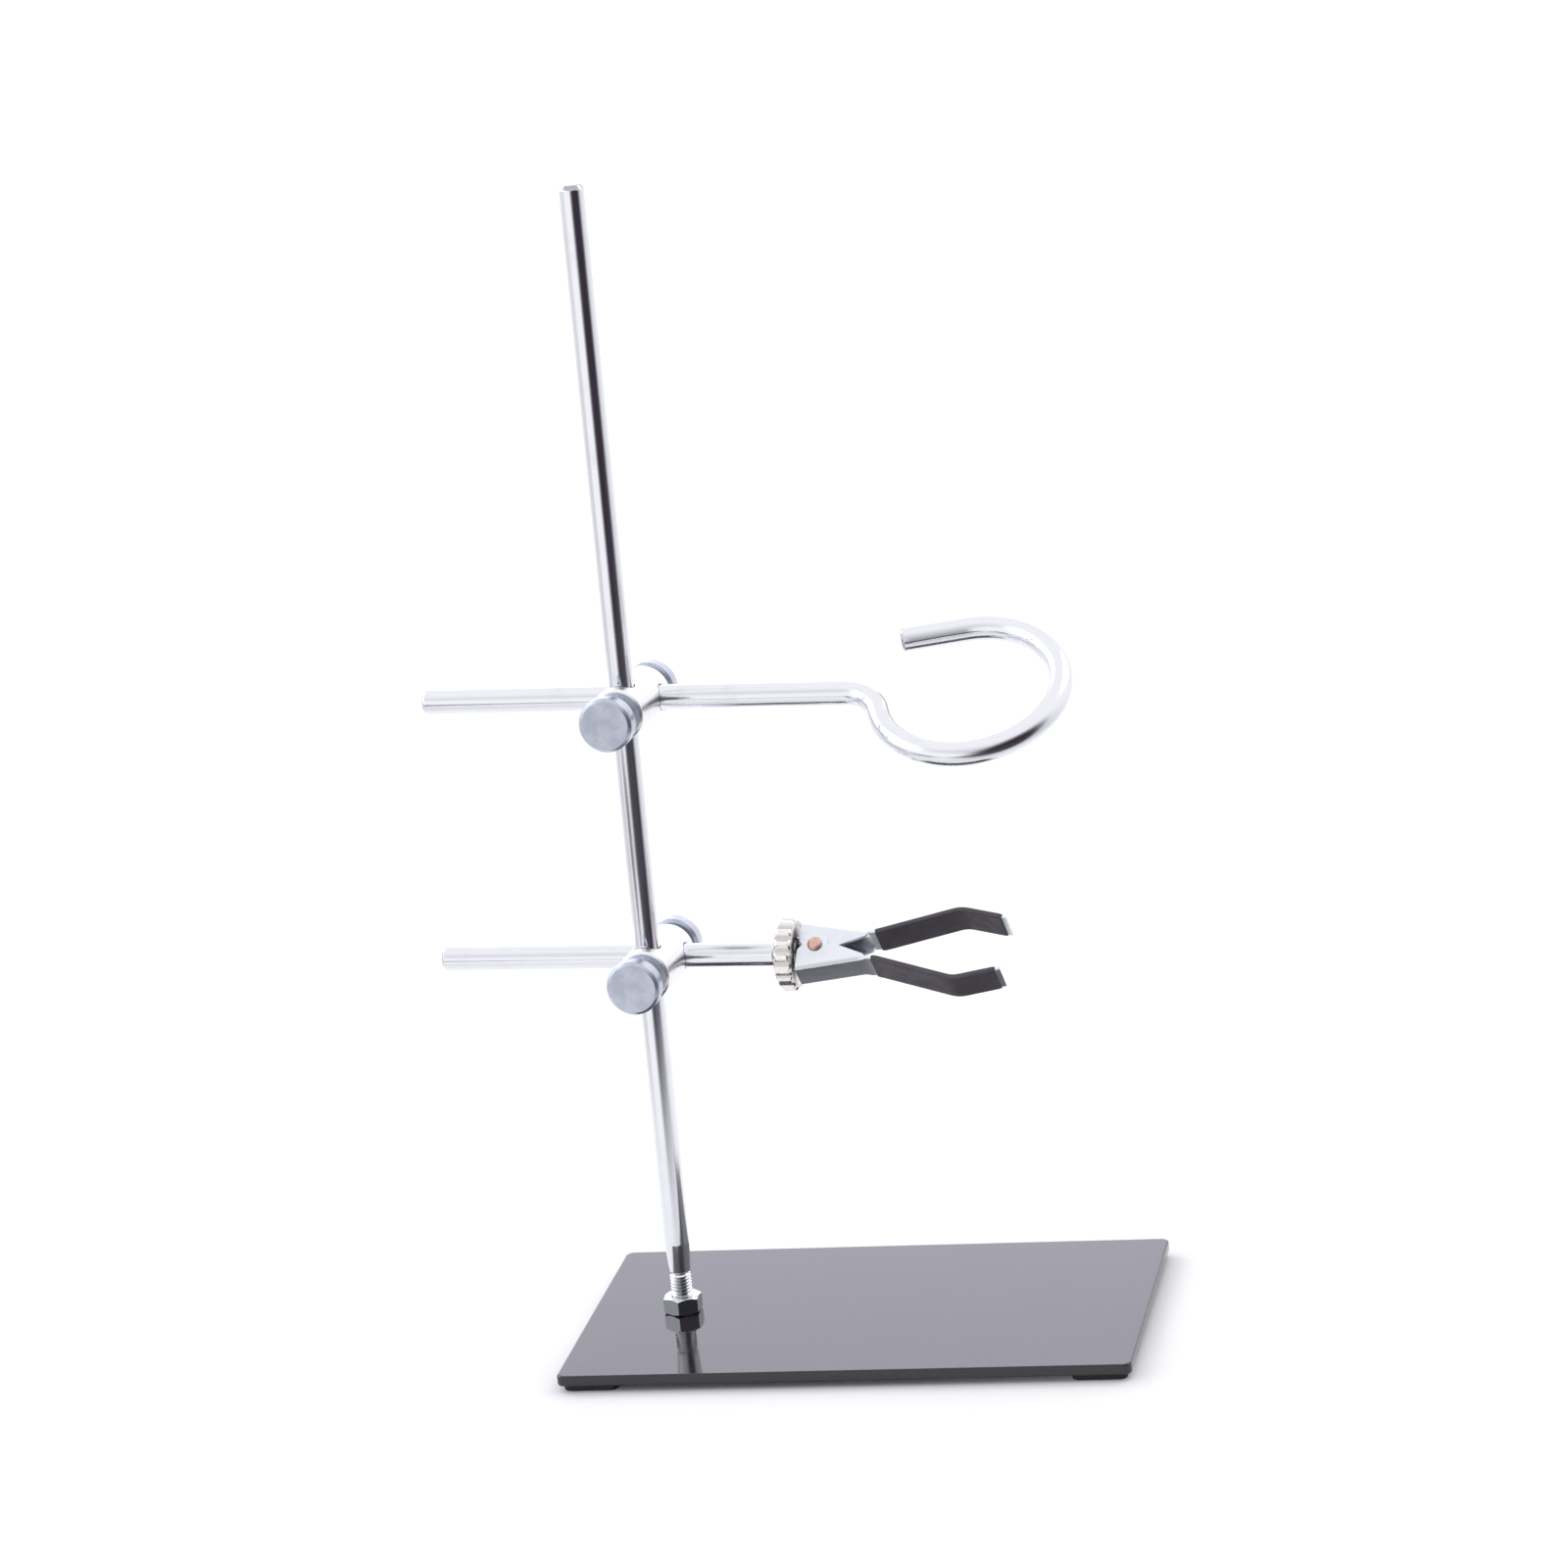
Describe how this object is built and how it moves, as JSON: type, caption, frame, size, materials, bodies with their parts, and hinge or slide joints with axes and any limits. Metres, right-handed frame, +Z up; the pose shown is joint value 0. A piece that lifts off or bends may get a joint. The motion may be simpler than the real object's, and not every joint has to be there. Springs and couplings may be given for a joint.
{
  "type": "retort stand",
  "caption": "Laboratory retort stand: steel plate base with an upright rod, an open ring on one boss head and a sprung two-jaw flask clamp on another.",
  "frame": {"origin": "on the bench, under the middle of the stand's overall width and depth", "axes": "+X towards the ring and the clamp's jaws, +Y towards the back, +Z up along the upright rod"},
  "size_m": [0.2586, 0.131, 0.4295],
  "materials": {
    "base_paint": "gloss black enamel",
    "foot_rubber": "matt black",
    "rod_chrome": "bright chrome plating",
    "screw_steel": "turned, zinc plated",
    "boss_zinc": "satin chrome on a casting",
    "knob_nickel": "satin nickel, faced on a lathe",
    "nut_nickel": "satin nickel",
    "jaw_steel": "pressed sheet, satin nickel",
    "spring_steel": "drawn wire",
    "copper_rivet": "copper coloured, worn",
    "sleeve_rubber": "matt charcoal"
  },
  "bodies": {
    "base": {"base_plate": "base_paint", "foot_front_left": "foot_rubber", "foot_front_right": "foot_rubber", "foot_rear_left": "foot_rubber", "foot_rear_right": "foot_rubber", "base_lock_nut": "screw_steel"},
    "upright": {"upright_rod": "rod_chrome"},
    "ring_boss": {"ring_boss_body": "boss_zinc"},
    "ring_rod_screw": {"ring_rod_screw": "screw_steel", "ring_rod_knob": "knob_nickel"},
    "ring_arm_screw": {"ring_arm_screw": "screw_steel", "ring_arm_knob": "knob_nickel"},
    "ring_arm": {"ring_arm": "rod_chrome"},
    "clamp_boss": {"clamp_boss_body": "boss_zinc"},
    "clamp_rod_screw": {"clamp_rod_screw": "screw_steel", "clamp_rod_knob": "knob_nickel"},
    "clamp_arm_screw": {"clamp_arm_screw": "screw_steel", "clamp_arm_knob": "knob_nickel"},
    "clamp_arm": {"clamp_arm": "rod_chrome"},
    "clamp_nut": {"clamp_nut": "nut_nickel"},
    "clamp_head": {"clamp_tongue": "screw_steel", "jaw_rivet": "copper_rivet", "jaw_spring": "spring_steel"},
    "upper_jaw_body": {"upper_jaw": "jaw_steel", "upper_sleeve": "sleeve_rubber"},
    "lower_jaw_body": {"lower_jaw": "jaw_steel", "lower_sleeve": "sleeve_rubber"}
  },
  "joints": [
    {"name": "upright_turn", "type": "hinge", "parent": "base", "child": "upright", "pos_m": [-0.04569, 0, 0.0065], "axis": [0, 0, 1], "continuous": true},
    {"name": "ring_boss_slide", "type": "slide", "parent": "upright", "child": "ring_boss", "axis": [0, 0, 1], "range_m": [-0.025, 0.17]},
    {"name": "ring_rod_screw_turn", "type": "hinge", "parent": "ring_boss", "child": "ring_rod_screw", "pos_m": [-0.04655, -0.00896, 0.2378], "axis": [-0.0958, -0.9954, 0], "continuous": true},
    {"name": "ring_arm_screw_turn", "type": "hinge", "parent": "ring_boss", "child": "ring_arm_screw", "pos_m": [-0.0431, 0.02688, 0.2378], "axis": [0.0958, 0.9954, 0], "continuous": true},
    {"name": "ring_arm_turn", "type": "hinge", "parent": "ring_boss", "child": "ring_arm", "pos_m": [-0.04397, 0.01792, 0.2378], "axis": [0.9954, -0.0958, 0], "continuous": true},
    {"name": "clamp_boss_slide", "type": "slide", "parent": "upright", "child": "clamp_boss", "axis": [0, 0, 1], "range_m": [-0.09, 0.025]},
    {"name": "clamp_rod_screw_turn", "type": "hinge", "parent": "clamp_boss", "child": "clamp_rod_screw", "pos_m": [-0.0464, -0.00897, 0.1392], "axis": [-0.0785, -0.9969, 0], "continuous": true},
    {"name": "clamp_arm_screw_turn", "type": "hinge", "parent": "clamp_boss", "child": "clamp_arm_screw", "pos_m": [-0.04357, 0.02692, 0.1392], "axis": [0.0785, 0.9969, 0], "continuous": true},
    {"name": "clamp_arm_slide", "type": "slide", "parent": "clamp_boss", "child": "clamp_arm", "axis": [0.9969, -0.0785, 0], "range_m": [-0.033, 0.07]},
    {"name": "clamp_nut_turn", "type": "hinge", "parent": "clamp_arm", "child": "clamp_nut", "pos_m": [0.00557, 0.01402, 0.1392], "axis": [0.9969, -0.0785, 0], "range_deg": [-270, 540]},
    {"name": "clamp_head_turn", "type": "hinge", "parent": "clamp_arm", "child": "clamp_head", "pos_m": [0.01534, 0.01325, 0.1392], "axis": [0.9969, -0.0785, 0], "continuous": true},
    {"name": "upper_jaw_pivot", "type": "hinge", "parent": "clamp_head", "child": "upper_jaw_body", "pos_m": [0.01534, 0.01325, 0.1392], "axis": [0.0545, 0.6925, -0.7193], "range_deg": [-3.5, 7]},
    {"name": "lower_jaw_pivot", "type": "hinge", "parent": "clamp_head", "child": "lower_jaw_body", "pos_m": [0.01534, 0.01325, 0.1392], "axis": [0.0545, 0.6925, -0.7193], "range_deg": [-7, 3.5]}
  ],
  "couplings": [
    {"joint": "upper_jaw_pivot", "follows": "clamp_nut_turn", "ratio": 0.012963},
    {"joint": "lower_jaw_pivot", "follows": "clamp_nut_turn", "ratio": -0.012963}
  ]
}
